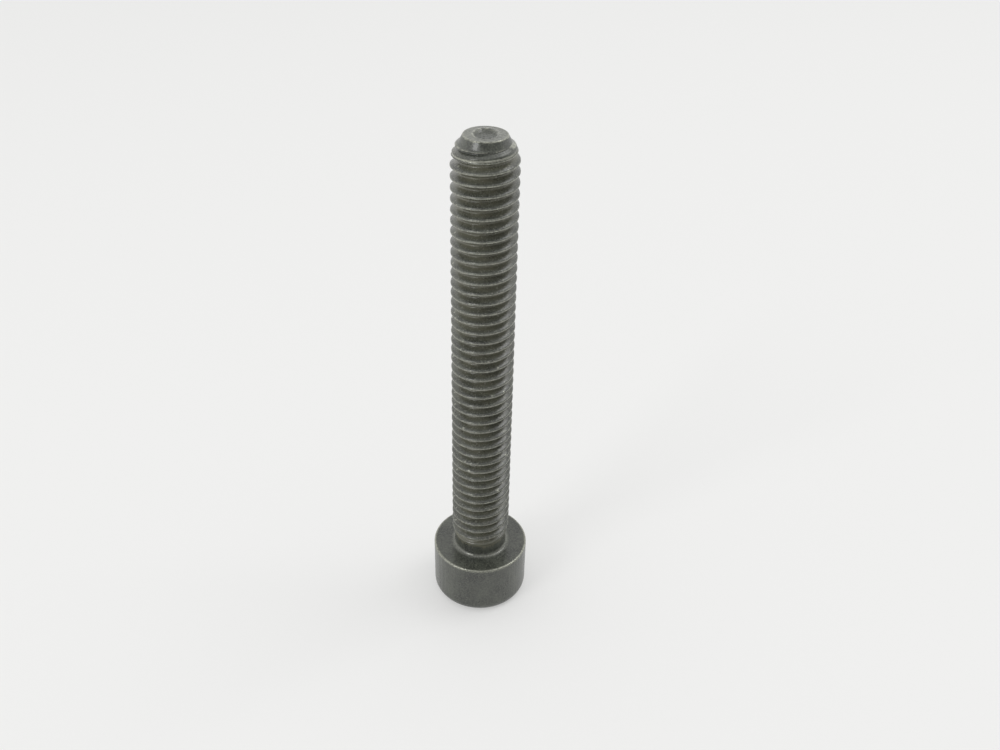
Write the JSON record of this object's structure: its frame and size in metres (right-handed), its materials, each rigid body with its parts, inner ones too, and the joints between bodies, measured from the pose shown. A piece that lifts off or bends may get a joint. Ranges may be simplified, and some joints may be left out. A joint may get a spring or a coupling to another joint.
{
  "type": "star drive cap screw",
  "caption": "Black steel cylinder-head machine screw with a six-lobed star recess, threaded along its whole shank up to the head.",
  "frame": {"origin": "centre of the head's end face, the face with the drive recess, on which the screw stands", "axes": "+Z along the shank, from the head to the point; +X through the middle of one lobe of the recess"},
  "size_m": [0.0098, 0.0098, 0.051],
  "materials": {
    "black_steel": "satin"
  },
  "bodies": {
    "root": {"star_drive_bolt": "black_steel"}
  },
  "joints": []
}
